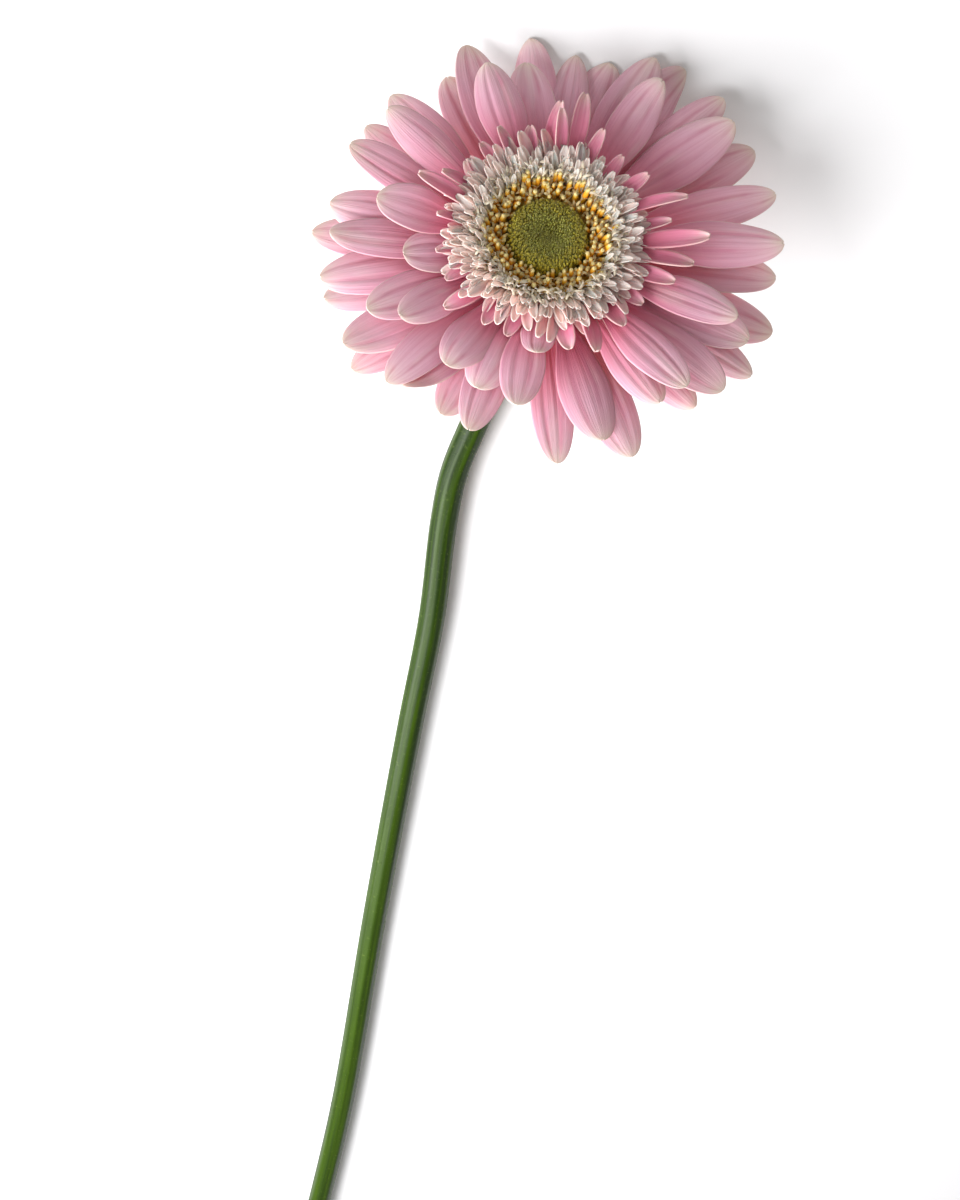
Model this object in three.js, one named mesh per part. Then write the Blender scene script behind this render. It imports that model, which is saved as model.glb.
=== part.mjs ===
// A cut gerbera lying on a flat surface, in millimetres with +Z up.
// The stem rests along Y and ends in its cut at +Y. Its neck bends up into the flower, whose face
// looks up and towards -Y, and whose lowest rays rest on the surface, the plane Z = 0.
import * as THREE from 'three';

// Driving dimensions
const RAY_REACH = 55;            // from the flower's axis to the tip of a full-length ray
const RAY_WIDTH = 11.6;          // across a full-length ray at its widest, on average
const WIDTH_SPREAD = 0.12;       // how far ray widths differ from that, as a share
const RAY_THICKNESS = 0.55;      // at a ray's midline
const RAY_CAMBER = 0.5;          // how far a ray's edges hang below its midline
const RAY_RISE = 9;              // degrees by which the lowest rays leave the receptacle upwards
const RISE_STEP = 1.2;           // degrees more for each level above
const RAY_BEND = 15;             // degrees by which a lowest ray bends over along its length
const BEND_STEP = 0.4;           // degrees more for each level above
const RAY_SWAY = 1.2;            // how far a ray's tip may lie to one side
const RAY_ROLL = 3;              // degrees by which a ray's tip may turn about its midline
const LEVEL_PITCH = 1;           // from one level of ray bases to the next
const LEVEL_DROP = 0.8;          // from the receptacle's top down to the topmost ray bases
const REST_BAND = 3;             // height over which the surface takes up a drooping ray
const CLEARANCE = 0.3;           // between pieces that touch on the real flower

const DISC_RADIUS = 9.4;         // green florets in the middle
const DISC_HEIGHT = 4.2;
const ANTHER_WIDTH = 5.4;        // width of the ring of open florets around the disc
const ANTHER_HEIGHT = 7.4;
const FRINGE_REACH = 23.4;       // tips of the short white florets
const FRINGE_HEIGHT = 8.6;       // of those tips above the receptacle's top
const FRINGE_THICKNESS = 1.2;
const TONGUE_REACH = 27;         // tips of the small pink rays under the fringe
const TONGUE_HEIGHT = 4.6;       // of those tips above the receptacle's top
const TONGUE_THICKNESS = 0.6;

const RECEPTACLE_TOP = 1.4;      // above the plane that the rays leave from
const RECEPTACLE_DEPTH = 16;     // below that plane, down to the stem
const WAIST_DROP = 8.5;          // from the receptacle's top down to where it turns in to the stem
const RIM_SLOPE = 0.15;          // by which the receptacle narrows from its rim to its waist
const NECK_RIM = 0.6;            // by which the receptacle's foot stands out past the stem
const BRACT_FLARE = 4.6;         // by which the bracts' points stand out past the waist
const BRACT_STEP = 1.8;          // by which each row of bracts is shorter than the one inside it
const BRACT_THICKNESS = 0.9;

const STEM_DIAMETER = 8;
const STEM_LENGTH = 378;         // along Y, from the flower's axis to the cut
const NECK_RUN = 69;             // along Y, from the receptacle to where the stem meets the surface
const HEAD_TILT = 39.3;          // degrees between the flower's axis and the vertical
const HEAD_TURN = 7.1;           // degrees that the face is turned from -Y towards -X

// Rays, as [degrees around the axis, share of RAY_REACH]. 90 degrees points down to the surface
// and -90 degrees points up over the stem. Each whorl lies over the one before it.
const WHORLS = [
  [[-179, 0.96], [-160, 0.93], [-140, 0.94], [-114, 0.84], [-82, 0.91], [-63, 0.95], [-40, 0.9],
    [-13, 1.01], [35, 1.08], [62, 1.09], [79, 1.01], [97, 1.01], [120, 0.92], [150, 0.93]],
  [[-166, 0.93], [-143, 0.94], [-126, 0.86], [-107, 0.87], [-70, 0.86], [-26, 1], [1, 0.98],
    [21, 1.03], [49, 1.09], [68, 1.03], [86, 0.94], [115, 0.97], [139, 0.94], [175, 0.9]],
  [[-174, 0.88], [-150, 0.8], [-131, 0.9], [-107, 0.71], [-49, 0.82], [-38, 0.95], [-22, 0.92],
    [8, 0.99], [43, 1], [61, 0.9], [99, 0.85], [161, 0.9]],
  [[-166, 0.59], [-143, 0.71], [-120, 0.7], [-89, 0.51], [-95, 0.75], [-45, 0.85], [-17, 0.84],
    [113, 0.82], [145, 0.85], [175, 0.71]],
];
const WHORL_NAMES = ['back', 'mid_back', 'mid_front', 'front'];
const WHORL_COLOURS = [0xe3c3c4, 0xe2b9be, 0xe0adb8, 0xdda3b2];

// The stem's way from the flower down to the surface, as shares of NECK_RUN in X and Y and of the
// fall in Z, and then along the surface, as shares of what is left of STEM_LENGTH in X and Y
const NECK_ROUTE = [
  [0.068, 0.246, 0.31], [0.148, 0.435, 0.143], [0.222, 0.609, 0.066], [0.294, 0.797, 0.022],
  [0.338, 1, 0],
];
const STEM_ROUTE = [
  [0.013, 0.1], [0.036, 0.219], [0.078, 0.448], [0.125, 0.721], [0.16, 0.88], [0.189, 1],
];

const LEVELS = 2 * WHORLS.length;
const RAY_RINGS = 8;
const STEM_SIDES = 12;
const STEM_STEPS = 40;
const TURN_STEPS = 36;
const FRINGE_TEETH = 30;
const TONGUE_TEETH = 22;
const BRACT_TEETH = 16;

const rad = THREE.MathUtils.degToRad;
const smooth = THREE.MathUtils.smoothstep;

// Frame of the flower: its axis is local +Z
const headHeight = RAY_REACH * Math.sin(rad(HEAD_TILT));
const axis = new THREE.Vector3(
  -Math.sin(rad(HEAD_TILT)) * Math.sin(rad(HEAD_TURN)),
  -Math.sin(rad(HEAD_TILT)) * Math.cos(rad(HEAD_TURN)),
  Math.cos(rad(HEAD_TILT)),
);
const across = new THREE.Vector3(-Math.cos(rad(HEAD_TURN)), Math.sin(rad(HEAD_TURN)), 0);
const down = new THREE.Vector3().crossVectors(axis, across);
const headMatrix = new THREE.Matrix4()
  .makeBasis(across, down, axis)
  .setPosition(0, 0, headHeight);

// A closed body from rings of points, each ring as long as the others. Its ends are capped, or
// the last ring joins the first where looped is true.
function loft(rings, looped = false) {
  const count = rings[0].length;
  const points = rings.flat();
  const faces = [];
  const last = looped ? rings.length : rings.length - 1;
  for (let i = 0; i < last; i += 1) {
    const low = i * count;
    const high = ((i + 1) % rings.length) * count;
    for (let j = 0; j < count; j += 1) {
      const k = (j + 1) % count;
      faces.push([low + j, low + k, high + k], [low + j, high + k, high + j]);
    }
  }
  if (!looped) {
    for (let j = 1; j < count - 1; j += 1) {
      const top = (rings.length - 1) * count;
      faces.push([0, j + 1, j], [top, top + j, top + j + 1]);
    }
  }
  const geometry = new THREE.BufferGeometry().setFromPoints(points);
  geometry.setIndex(volumeOf(points, faces) > 0 ? faces.flat() : faces.map(flip).flat());
  return geometry;
}

function flip([a, b, c]) {
  return [a, c, b];
}

function volumeOf(points, faces) {
  const cross = new THREE.Vector3();
  return faces.reduce(
    (sum, [a, b, c]) => sum + points[a].dot(cross.crossVectors(points[b], points[c])),
    0,
  );
}

// A profile of [radius, height] turned about the flower's axis
function turned(profile) {
  const outline = profile.map(([radius, height]) => new THREE.Vector2(radius, height));
  return new THREE.LatheGeometry(outline, TURN_STEPS).rotateX(Math.PI / 2);
}

// Height that a point is lifted by where the surface holds a drooping ray up: it falls off
// smoothly, so that rays that lie over each other keep their order.
function liftFor(height) {
  if (height > REST_BAND) {
    return 0;
  }
  const sunk = Math.max(height + REST_BAND, 0);
  return (sunk * sunk) / (4 * REST_BAND) - height;
}

function receptacleRadius(height) {
  const rim = DISC_RADIUS + ANTHER_WIDTH;
  return rim - RIM_SLOPE * (RECEPTACLE_TOP - height);
}

function rayFoot(level) {
  return RECEPTACLE_TOP - LEVEL_DROP - LEVEL_PITCH * (LEVELS - 1 - level);
}

function rayStart(level) {
  return receptacleRadius(rayFoot(level)) + CLEARANCE;
}

// Shorter rays are narrower
function rayWidth(level, index, reachShare) {
  const own = 1 + WIDTH_SPREAD * Math.sin(2.7 * index + 1.3 * level);
  return RAY_WIDTH * own * (0.55 + 0.45 * Math.min(reachShare, 1));
}

// Degrees that two rays on one level need between them, so as to pass where they are widest
function turnNeeded(level, rays, a, b) {
  const start = rayStart(level);
  const widest = start + 0.6 * (RAY_REACH * Math.min(rays[a][1], rays[b][1]) - start);
  const room = (rayWidth(level, a, rays[a][1]) + rayWidth(level, b, rays[b][1])) / 2 + CLEARANCE;
  return THREE.MathUtils.radToDeg(room / widest);
}

// Angles of a whorl's rays. Its odd and even rays lie on two levels. Two rays that would meet on
// their level each turn away by half of what is missing.
function placeRays(rays, whorl) {
  const angles = rays.map(([degrees]) => degrees);
  [0, 1].forEach((parity) => {
    const order = rays.map((ray, index) => index).filter((index) => index % 2 === parity);
    order.sort((a, b) => rays[a][0] - rays[b][0]);
    order.forEach((index, place) => {
      const next = order[(place + 1) % order.length];
      const gap = (rays[next][0] - rays[index][0] + 360) % 360;
      const missing = turnNeeded(2 * whorl + parity, rays, index, next) - gap;
      angles[index] -= Math.max(missing, 0) / 2;
      angles[next] += Math.max(missing, 0) / 2;
    });
  });
  return angles;
}

// Half-width of a ray at a share of its length: a narrow foot, a long blade and a round tip
function rayHalfWidth(share, width) {
  const blade = 0.27 + 0.73 * smooth(share, 0, 0.62);
  const tip = Math.max(share - 0.58, 0) / 0.42;
  return (width / 2) * blade * Math.sqrt(Math.max(1 - tip ** 2.2, 0.012));
}

// One ray: its midline is an arc that leaves the receptacle upwards and bends over
function rayGeometry(level, degrees, reachShare, index) {
  const foot = rayFoot(level);
  const start = rayStart(level);
  const length = RAY_REACH * reachShare - start;
  const rise = rad(RAY_RISE + RISE_STEP * level + 0.5 * Math.sin(2.4 * index));
  const bend = -rad(RAY_BEND + BEND_STEP * level) * reachShare;
  const sway = RAY_SWAY * Math.sin(1.7 * index + level);
  const roll = rad(RAY_ROLL * Math.sin(3.1 * index + 0.6));
  const width = rayWidth(level, index, reachShare);
  const turn = new THREE.Matrix4().makeRotationZ(rad(degrees));
  const toWorld = headMatrix.clone().multiply(turn);
  const toHead = headMatrix.clone().invert();
  const rings = [];
  for (let i = 0; i < RAY_RINGS; i += 1) {
    const share = 1 - (1 - i / (RAY_RINGS - 1)) ** 1.35;
    const angle = rise + bend * share;
    const out = start + (length * (Math.sin(angle) - Math.sin(rise))) / bend;
    const up = foot + (length * (Math.cos(rise) - Math.cos(angle))) / bend;
    const half = rayHalfWidth(share, width);
    const ring = raySection(half).map(([side, height]) => {
      const lean = roll * share;
      const y = side * Math.cos(lean) - height * Math.sin(lean) + sway * share * share;
      const z = side * Math.sin(lean) + height * Math.cos(lean);
      return new THREE.Vector3(out - z * Math.sin(angle), y, up + z * Math.cos(angle))
        .applyMatrix4(toWorld);
    });
    const lift = liftFor(Math.min(...ring.map((point) => point.z)));
    rings.push(ring.map((point) => point.setZ(point.z + lift).applyMatrix4(toHead)));
  }
  return loft(rings);
}

// A ray's section as [side, height] points: arched, with its thickness fading to sharp edges
function raySection(half) {
  const sides = [-1, -0.5, 0, 0.5, 1];
  const rim = (side) => (RAY_THICKNESS / 2) * (1 - side * side);
  const arch = (side) => -RAY_CAMBER * side * side * Math.min(half / (RAY_WIDTH / 2), 1);
  const top = sides.map((side) => [side * half, arch(side) + rim(side)]);
  const under = sides.slice(1, -1).map((side) => [side * half, arch(side) - rim(side)]);
  return [...top, ...under.reverse()];
}

// A toothed cone shell about the axis, from a foot [radius, height] to a rim [radius, height].
// Each tooth's point reaches the rim, and the notches between stop at a share of the way.
function crownGeometry(foot, rim, thickness, teeth, notch) {
  const slope = Math.atan2(rim[1] - foot[1], rim[0] - foot[0]);
  const offset = [-Math.sin(slope) * (thickness / 2), Math.cos(slope) * (thickness / 2)];
  const steps = teeth * 2;
  const rings = [];
  for (let i = 0; i < steps; i += 1) {
    const way = i % 2 === 0 ? 1 : notch;
    const edge = [foot[0] + (rim[0] - foot[0]) * way, foot[1] + (rim[1] - foot[1]) * way];
    const corners = [[foot, 1], [edge, 1], [edge, -1], [foot, -1]];
    const turn = (i / steps) * Math.PI * 2;
    rings.push(corners.map(([place, side]) => {
      const radius = place[0] + side * offset[0];
      const height = place[1] + side * offset[1];
      return new THREE.Vector3(radius * Math.cos(turn), radius * Math.sin(turn), height);
    }));
  }
  return loft(rings, true);
}

function receptacleGeometry() {
  const rim = receptacleRadius(RECEPTACLE_TOP);
  const waist = receptacleRadius(RECEPTACLE_TOP - WAIST_DROP);
  const neck = STEM_DIAMETER / 2 + NECK_RIM;
  const floor = -RECEPTACLE_DEPTH;
  return turned([
    [0, floor], [neck, floor], [(neck + waist) / 2, floor + 2.4],
    [waist * 0.92, RECEPTACLE_TOP - WAIST_DROP - 3], [waist, RECEPTACLE_TOP - WAIST_DROP],
    [rim, RECEPTACLE_TOP - 0.4], [rim - 0.4, RECEPTACLE_TOP], [0, RECEPTACLE_TOP],
  ]);
}

// Three rows of bracts under the rays, each lying on the one inside it. The outermost is shortest.
function bractGeometry(row) {
  const waist = receptacleRadius(RECEPTACLE_TOP - WAIST_DROP);
  const foot = [(STEM_DIAMETER / 2 + waist) / 2 + 1.2, -RECEPTACLE_DEPTH + 2.2];
  const rim = [waist + BRACT_FLARE, RECEPTACLE_TOP - WAIST_DROP - 0.7];
  const slope = Math.atan2(rim[1] - foot[1], rim[0] - foot[0]);
  const along = [Math.cos(slope), Math.sin(slope)];
  const step = (BRACT_THICKNESS + CLEARANCE) * row;
  const shift = ([radius, height], back) => [
    radius + along[1] * step - along[0] * back,
    height - along[0] * step - along[1] * back,
  ];
  const edge = shift(rim, BRACT_STEP * row);
  return crownGeometry(shift(foot, 0), edge, BRACT_THICKNESS, BRACT_TEETH, 0.55);
}

function discGeometry() {
  const base = RECEPTACLE_TOP + CLEARANCE;
  const r = DISC_RADIUS;
  const h = DISC_HEIGHT;
  return turned([
    [0, base], [r - 0.2, base], [r, base + h * 0.5], [r * 0.93, base + h * 0.86],
    [r * 0.75, base + h], [r * 0.4, base + h * 0.93], [0, base + h * 0.84],
  ]);
}

function antherGeometry() {
  const base = RECEPTACLE_TOP + CLEARANCE;
  const inner = DISC_RADIUS + CLEARANCE;
  const outer = DISC_RADIUS + ANTHER_WIDTH;
  const h = ANTHER_HEIGHT;
  return turned([
    [inner, base], [inner + ANTHER_WIDTH * 0.3, base], [outer, base + h * 0.93],
    [outer - ANTHER_WIDTH * 0.3, base + h], [inner + 0.5, base + h * 0.72], [inner, base],
  ]);
}

function fringeGeometry() {
  const foot = [DISC_RADIUS + ANTHER_WIDTH * 0.72, RECEPTACLE_TOP + 1.9];
  const rim = [FRINGE_REACH, RECEPTACLE_TOP + FRINGE_HEIGHT];
  return crownGeometry(foot, rim, FRINGE_THICKNESS, FRINGE_TEETH, 0.6);
}

function tongueGeometry() {
  const foot = [DISC_RADIUS + ANTHER_WIDTH + 0.9, RECEPTACLE_TOP + 1.1];
  const rim = [TONGUE_REACH, RECEPTACLE_TOP + TONGUE_HEIGHT];
  return crownGeometry(foot, rim, TONGUE_THICKNESS, TONGUE_TEETH, 0.5);
}

// The stem: a round section swept from under the receptacle down to the surface and along it
function stemGeometry() {
  const radius = STEM_DIAMETER / 2;
  const neck = new THREE.Vector3(0, 0, -RECEPTACLE_DEPTH - CLEARANCE).applyMatrix4(headMatrix);
  const fall = neck.z - radius;
  const points = [neck, neck.clone().addScaledVector(axis, -0.5 * fall)];
  NECK_ROUTE.forEach(([x, y, z]) => {
    points.push(new THREE.Vector3(neck.x + x * NECK_RUN, neck.y + y * NECK_RUN, radius + z * fall));
  });
  const landing = points.at(-1);
  const run = STEM_LENGTH - landing.y;
  STEM_ROUTE.forEach(([x, y]) => {
    points.push(new THREE.Vector3(landing.x + x * run, landing.y + y * run, radius));
  });
  const route = new THREE.CatmullRomCurve3(points, false, 'centripetal');
  const rings = [];
  for (let i = 0; i <= STEM_STEPS; i += 1) {
    const share = (i / STEM_STEPS) ** 1.5;
    const centre = route.getPoint(share);
    const along = route.getTangent(share);
    const side = new THREE.Vector3(0, 0, 1).cross(along).normalize();
    const over = new THREE.Vector3().crossVectors(along, side);
    const ring = [];
    for (let j = 0; j < STEM_SIDES; j += 1) {
      const turn = (2 * Math.PI * (j + 0.5)) / STEM_SIDES;
      ring.push(centre.clone()
        .addScaledVector(side, radius * Math.cos(turn))
        .addScaledVector(over, radius * Math.sin(turn)));
    }
    rings.push(ring);
  }
  return loft(rings);
}

function material(color, roughness) {
  return new THREE.MeshStandardMaterial({ color, roughness, metalness: 0 });
}

function piece(name, geometry, finish) {
  const mesh = new THREE.Mesh(geometry, finish);
  mesh.name = name;
  return mesh;
}

const green = material(0x4b6b2c, 0.6);
const head = new THREE.Group();
head.applyMatrix4(headMatrix);
head.add(piece('receptacle', receptacleGeometry(), green));
['inner', 'middle', 'outer'].forEach((row, index) => {
  head.add(piece(`bracts_${row}`, bractGeometry(index), green));
});
head.add(piece('disc_florets', discGeometry(), material(0x7f8a35, 0.85)));
head.add(piece('open_florets', antherGeometry(), material(0xb9822c, 0.8)));
head.add(piece('fringe_florets', fringeGeometry(), material(0xe4d6cc, 0.7)));
head.add(piece('small_rays', tongueGeometry(), material(0xd792a6, 0.65)));
WHORLS.forEach((rays, whorl) => {
  const angles = placeRays(rays, whorl);
  rays.forEach(([, reach], index) => {
    const level = 2 * whorl + (index % 2);
    const name = `ray_${WHORL_NAMES[whorl]}_${String(index + 1).padStart(2, '0')}`;
    const geometry = rayGeometry(level, angles[index], reach, index);
    head.add(piece(name, geometry, material(WHORL_COLOURS[whorl], 0.6)));
  });
});

const flower = new THREE.Group();
flower.add(head);
flower.add(piece('stem', stemGeometry(), green));

// The origin is in the middle of the flower's box, on the surface
const bounds = new THREE.Box3().setFromObject(flower, true);
flower.position.set(
  -(bounds.min.x + bounds.max.x) / 2,
  -(bounds.min.y + bounds.max.y) / 2,
  -bounds.min.z,
);

export default flower;
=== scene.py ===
"""A cut gerbera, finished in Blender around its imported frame.

Every piece is modelled in the flower's own space, in millimetres, with Z along the flower's axis
and the rays leaving at Z = 0. The head matrix then carries it to its place, in metres.
"""
import math

import bmesh
import bpy
import numpy as np
from bpy.props import FloatProperty, FloatVectorProperty, IntProperty, PointerProperty
from mathutils import Matrix, Vector


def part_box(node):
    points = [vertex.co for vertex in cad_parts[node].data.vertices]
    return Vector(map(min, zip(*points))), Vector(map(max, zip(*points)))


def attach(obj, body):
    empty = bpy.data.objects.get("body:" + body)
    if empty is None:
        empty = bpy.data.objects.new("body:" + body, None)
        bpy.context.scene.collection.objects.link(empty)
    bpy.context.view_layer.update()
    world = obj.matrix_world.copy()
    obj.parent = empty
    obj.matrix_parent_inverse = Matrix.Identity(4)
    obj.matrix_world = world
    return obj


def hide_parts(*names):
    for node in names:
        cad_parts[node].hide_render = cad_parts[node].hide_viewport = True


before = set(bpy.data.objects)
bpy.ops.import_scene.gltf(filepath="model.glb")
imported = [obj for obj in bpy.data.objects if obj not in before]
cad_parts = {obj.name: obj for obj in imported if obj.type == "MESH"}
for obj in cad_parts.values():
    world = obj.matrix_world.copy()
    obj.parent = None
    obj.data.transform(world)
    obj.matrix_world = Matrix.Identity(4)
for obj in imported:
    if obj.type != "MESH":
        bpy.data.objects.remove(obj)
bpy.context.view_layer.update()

bl_info = {
    "name": "Cut Gerbera",
    "version": (1, 0, 0),
    "blender": (4, 5, 0),
    "location": "View3D > Sidebar > Gerbera",
    "description": "Models a cut gerbera around its frame",
    "category": "Add Mesh",
}

MM = 0.001

# Sizes that the frame was made with, in millimetres and degrees
RAY_REACH = 55.0            # from the flower's axis to the tip of a full-length ray
RAY_WIDTH = 11.6            # across a full-length ray at its widest, on average
WIDTH_SPREAD = 0.12         # how far ray widths differ from that, as a share
RAY_RISE = 9.0              # by which the lowest rays leave the receptacle upwards
RISE_STEP = 1.2             # more for each level above
RAY_BEND = 15.0             # by which a lowest ray bends over along its length
BEND_STEP = 0.4             # more for each level above
RAY_SWAY = 1.2              # how far a ray's tip may lie to one side
RAY_ROLL = 3.0              # by which a ray's tip may turn about its midline
LEVELS = 8                  # two for each whorl
LEVEL_PITCH = 1.0           # from one level of ray bases to the next
LEVEL_DROP = 0.8            # from the receptacle's top down to the topmost ray bases
REST_BAND = 3.0             # height over which the surface takes up a drooping ray
CLEARANCE = 0.3             # between pieces that touch on the real flower
DISC_RADIUS = 9.4
DISC_HEIGHT = 4.2
ANTHER_WIDTH = 5.4          # of the ring of open florets around the disc
RECEPTACLE_TOP = 1.4        # above the plane that the rays leave from
RECEPTACLE_DEPTH = 16.0     # below that plane, down to the stem
WAIST_DROP = 8.5            # from the receptacle's top down to where it turns in to the stem
RIM_SLOPE = 0.15            # by which the receptacle narrows from its rim to its waist
STEM_DIAMETER = 8.0
NECK_RUN = 69.0             # along Y, from the receptacle to where the stem meets the surface

# The stem's midline: shares of NECK_RUN in X and Y and of the fall in Z on its way down, and then
# shares of what is left of its run in X and Y
NECK_ROUTE = (
    (0.068, 0.246, 0.31), (0.148, 0.435, 0.143), (0.222, 0.609, 0.066), (0.294, 0.797, 0.022),
    (0.338, 1, 0),
)
STEM_ROUTE = (
    (0.013, 0.1), (0.036, 0.219), (0.078, 0.448), (0.125, 0.721), (0.16, 0.88), (0.189, 1),
)

# Rays of each whorl, as (degrees around the axis, share of RAY_REACH)
WHORLS = {
    "back": (
        (-179, 0.96), (-160, 0.93), (-140, 0.94), (-114, 0.84), (-82, 0.91), (-63, 0.95),
        (-40, 0.9), (-13, 1.01), (35, 1.08), (62, 1.09), (79, 1.01), (97, 1.01), (120, 0.92),
        (150, 0.93),
    ),
    "mid_back": (
        (-166, 0.93), (-143, 0.94), (-126, 0.86), (-107, 0.87), (-70, 0.86), (-26, 1), (1, 0.98),
        (21, 1.03), (49, 1.09), (68, 1.03), (86, 0.94), (115, 0.97), (139, 0.94), (175, 0.9),
    ),
    "mid_front": (
        (-174, 0.88), (-150, 0.8), (-131, 0.9), (-107, 0.71), (-49, 0.82), (-38, 0.95),
        (-22, 0.92), (8, 0.99), (43, 1), (61, 0.9), (99, 0.85), (161, 0.9),
    ),
    "front": (
        (-166, 0.59), (-143, 0.71), (-120, 0.7), (-89, 0.51), (-95, 0.75), (-45, 0.85),
        (-17, 0.84), (113, 0.82), (145, 0.85), (175, 0.71),
    ),
}


# ---------------------------------------------------------------------------------------------
# Where the frame says the flower is

def node_points(node):
    """The node's separate corners, in metres."""
    corners = {tuple(round(c, 6) for c in v.co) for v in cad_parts[node].data.vertices}
    return np.array(sorted(corners))


def head_matrix():
    """From the flower's space in millimetres to the frame in metres."""
    under = node_points("receptacle")
    low = Vector(under.mean(axis=0))
    high = Vector(node_points("open_florets").mean(axis=0))
    axis = (high - low).normalized()
    across = axis.cross(Vector((0, 0, 1))).normalized()
    down = axis.cross(across)
    foot = min(Vector(p).dot(axis) for p in under) - low.dot(axis)
    centre = low + axis * (foot + RECEPTACLE_DEPTH * MM)
    turn = Matrix((across, down, axis)).transposed().to_4x4()
    return Matrix.Translation(centre) @ turn @ Matrix.Scale(MM, 4)


HEAD = head_matrix()
AXIS = (HEAD.to_3x3() @ Vector((0, 0, 1))).normalized()


def smooth(value, low, high):
    """Runs smoothly from 0 to 1 while value runs from low to high."""
    share = np.clip((value - low) / (high - low), 0.0, 1.0)
    return share * share * (3 - 2 * share)


def colour(red, green, blue):
    """A display colour, 0 to 255, as linear light."""
    def linear(value):
        value /= 255
        return value / 12.92 if value <= 0.04045 else ((value + 0.055) / 1.055) ** 2.4
    return (linear(red), linear(green), linear(blue))


def tint(name, red, green, blue, description):
    return FloatVectorProperty(
        name=name, description=description, subtype="COLOR", size=3, min=0, max=1,
        default=colour(red, green, blue),
    )


def length(name, default, description):
    """A size in metres, given in millimetres."""
    return FloatProperty(name=name, description=description, default=default * MM, unit="LENGTH")


# ---------------------------------------------------------------------------------------------
# What a user would change

class GerberaSizes(bpy.types.PropertyGroup):
    ray_thickness: length("Ray thickness", 0.42, "Thickness of a ray petal at its midline")
    ray_fold: length("Ray fold", 0.32, "Depth of the lengthwise folds of a ray petal")
    ray_camber: length("Ray camber", 0.9, "How far a ray petal's edges hang")
    disc_buds: IntProperty(name="Disc buds", description="Closed florets in the disc", default=760)
    disc_hairs: IntProperty(name="Disc hairs", description="Fine hairs on the disc", default=4200)
    bud_radius: length("Bud radius", 0.32, "Radius of a closed floret")
    anther_radius: length("Anther radius", 0.52, "Radius of an open floret's anther column")
    anther_length: length("Anther length", 4.0, "Length of an open floret's anther column")
    stem_rib: length("Stem rib", 0.12, "Height of the stem's ribs")
    stem_hairs: IntProperty(name="Stem hairs", description="Fine hairs on the stem", default=1500)


class GerberaColours(bpy.types.PropertyGroup):
    ray_foot: tint("Ray foot", 212, 94, 122, "Ray petal where it leaves the head")
    ray_blade: tint("Ray blade", 234, 180, 198, "Middle of a ray petal")
    ray_tip: tint("Ray tip", 240, 212, 210, "Tip of a ray petal")
    ray_rim: tint("Ray rim", 232, 212, 194, "Thin edge of a ray petal")
    small_ray: tint("Small ray", 222, 132, 158, "Small inner ray")
    fringe: tint("Fringe", 246, 226, 208, "White floret")
    fringe_foot: tint("Fringe foot", 222, 150, 160, "White floret where it leaves the head")
    anther: tint("Anther", 230, 170, 46, "Anther column")
    anther_tip: tint("Anther tip", 234, 210, 142, "Tip of an anther column")
    bud: tint("Bud", 180, 162, 38, "Closed floret")
    bud_tip: tint("Bud tip", 184, 172, 72, "Tip of a closed floret")
    stem: tint("Stem", 52, 76, 4, "Stem")
    stem_dark: tint("Stem shade", 28, 48, 3, "Darker streaks of the stem")
    floor: tint("Floor", 248, 248, 248, "Plain surface under the flower")


# ---------------------------------------------------------------------------------------------
# Modelling helpers

def clear_selection():
    if bpy.context.object and bpy.context.object.mode != "OBJECT":
        bpy.ops.object.mode_set(mode="OBJECT")
    bpy.ops.object.select_all(action="DESELECT")


def select_only(piece):
    clear_selection()
    piece.select_set(True)
    bpy.context.view_layer.objects.active = piece


def new_grid(name, across, along):
    """A flat sheet from -1 to 1 in X and 0 to 1 in Y, with its UV map over the whole sheet."""
    clear_selection()
    bpy.ops.mesh.primitive_grid_add(x_subdivisions=across, y_subdivisions=along, size=1)
    sheet = bpy.context.object
    sheet.name = sheet.data.name = name
    sheet.data.transform(Matrix.Diagonal((2, 1, 1, 1)) @ Matrix.Translation((0, 0.5, 0)))
    return sheet


def points_of(mesh):
    values = np.empty(len(mesh.vertices) * 3)
    mesh.vertices.foreach_get("co", values)
    return values.reshape(-1, 3)


def set_points(mesh, values):
    mesh.vertices.foreach_set("co", np.ascontiguousarray(values, dtype=np.float32).ravel())
    mesh.update()


def set_attribute(mesh, name, values):
    layer = mesh.attributes.get(name) or mesh.attributes.new(name, "FLOAT", "POINT")
    layer.data.foreach_set("value", np.broadcast_to(values, len(mesh.vertices)).astype(np.float32))


def carried(values, matrix):
    """Points moved by a matrix."""
    rows = np.array(matrix)
    return values @ rows[:3, :3].T + rows[:3, 3]


def thicken(piece, thickness, weights=None, under_slot=0):
    """Gives a sheet its thickness, thinner where its weights are lower."""
    select_only(piece)
    solid = piece.modifiers.new("Thickness", "SOLIDIFY")
    solid.thickness = thickness
    solid.offset = 0
    solid.use_even_offset = False
    solid.material_offset = under_slot
    if weights is not None:
        group = piece.vertex_groups.new(name="thickness")
        for index, weight in enumerate(weights):
            group.add([index], float(weight), "REPLACE")
        solid.vertex_group = group.name
    bpy.ops.object.modifier_apply(modifier=solid.name)
    if weights is not None:
        piece.vertex_groups.clear()


def shade(piece, *materials):
    for material in materials:
        piece.data.materials.append(material)
    select_only(piece)
    bpy.ops.object.shade_smooth()


def face_outwards(piece):
    select_only(piece)
    bpy.ops.object.mode_set(mode="EDIT")
    bpy.ops.mesh.select_all(action="SELECT")
    bpy.ops.mesh.normals_make_consistent(inside=False)
    bpy.ops.object.mode_set(mode="OBJECT")


def finish_piece(piece, slot, *nodes):
    """Joins the piece to the frame."""
    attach(piece, "root")
    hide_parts(*nodes)


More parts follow.
